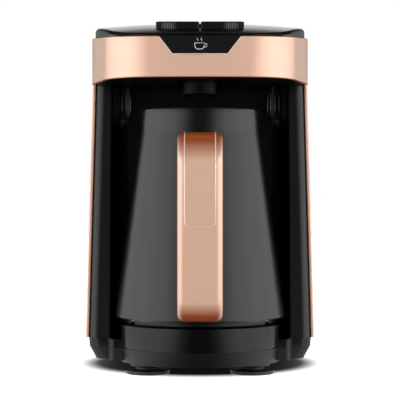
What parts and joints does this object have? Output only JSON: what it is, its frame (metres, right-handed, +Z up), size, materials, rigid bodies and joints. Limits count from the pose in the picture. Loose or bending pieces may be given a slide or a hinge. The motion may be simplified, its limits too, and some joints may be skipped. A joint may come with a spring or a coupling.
{
  "type": "electric turkish coffee maker",
  "caption": "Electric turkish coffee maker: open-fronted housing with a round base, a domed head with push buttons, and a conical pot with a closed handle that slides out to the front.",
  "frame": {"origin": "under the middle of the whole object's footprint, on the table", "axes": "+X to the right seen from the front, +Y to the back, +Z up; the pot's handle points to -Y"},
  "size_m": [0.1668, 0.205, 0.2575],
  "materials": {
    "black_housing": "satin moulded black",
    "black_gloss": "polished black",
    "rose_gold": "rose gold metallic lacquer",
    "pot_black": "satin black lacquer",
    "steel": "brushed",
    "screw_steel": "zinc plated",
    "rubber": "matt",
    "lens": "smoked lens",
    "board_green": "soldermask",
    "component": "moulded",
    "component_blue": "moulded",
    "brass": "bright",
    "glass_tube": "clear",
    "aluminium": "pressed",
    "lead_jacket": "satin"
  },
  "bodies": {
    "machine": {"bottom_tray": "black_housing", "foot_front_left": "rubber", "foot_front_right": "rubber", "foot_rear_left": "rubber", "foot_rear_right": "rubber", "bottom_screws": "screw_steel", "base_housing": "black_housing", "inner_housing": "black_housing", "outer_shell": "rose_gold", "head_band": "rose_gold", "top_cover": "black_gloss", "head_underside": "black_housing", "sensor_housing": "black_housing", "sensor_window": "lens", "ceiling_screws": "screw_steel", "control_board": "board_green", "board_screws": "screw_steel", "buzzer": "component", "switch_left": "component", "switch_right": "component", "power_board": "board_green", "power_screws": "screw_steel", "relay": "component", "capacitor": "component_blue", "fuse": "glass_tube", "terminal_block": "component", "socket_housing": "black_housing", "socket_screws": "screw_steel", "socket_contacts": "brass", "supply_leads": "lead_jacket", "cable_gland": "rubber", "button_spring_left": "rubber", "button_spring_right": "rubber"},
    "pot": {"pot_body": "pot_black", "pot_collar": "pot_black", "pot_liner": "steel", "pot_seal": "rubber", "heater_plate": "aluminium", "heating_element": "steel", "thermostat": "aluminium", "pot_base_cover": "black_housing", "pot_base_screws": "screw_steel", "pot_inlet": "black_housing", "pot_pins": "brass", "pot_handle": "rose_gold", "handle_backing": "black_housing", "handle_inset": "rose_gold", "handle_screws": "screw_steel"},
    "button_left": {"button_left": "black_gloss"},
    "button_right": {"button_right": "black_gloss"},
    "plunger_left": {"switch_plunger_left": "component"},
    "plunger_right": {"switch_plunger_right": "component"}
  },
  "joints": [
    {"name": "pot_pull", "type": "slide", "parent": "machine", "child": "pot", "axis": [0, -1, 0], "range_m": [0, 0.175]},
    {"name": "press_left", "type": "slide", "parent": "machine", "child": "button_left", "axis": [0, 0, -1], "range_m": [0, 0.0015], "stiffness_N_per_m": 600, "springref_m": -0.001, "deforming": ["button_spring_left"]},
    {"name": "plunger_left", "type": "slide", "parent": "machine", "child": "plunger_left", "axis": [0, 0, -1], "range_m": [0, 0.0015]},
    {"name": "press_right", "type": "slide", "parent": "machine", "child": "button_right", "axis": [0, 0, -1], "range_m": [0, 0.0015], "stiffness_N_per_m": 600, "springref_m": -0.001, "deforming": ["button_spring_right"]},
    {"name": "plunger_right", "type": "slide", "parent": "machine", "child": "plunger_right", "axis": [0, 0, -1], "range_m": [0, 0.0015]}
  ],
  "couplings": [
    {"joint": "plunger_left", "follows": "press_left", "ratio": 1},
    {"joint": "plunger_right", "follows": "press_right", "ratio": 1}
  ]
}
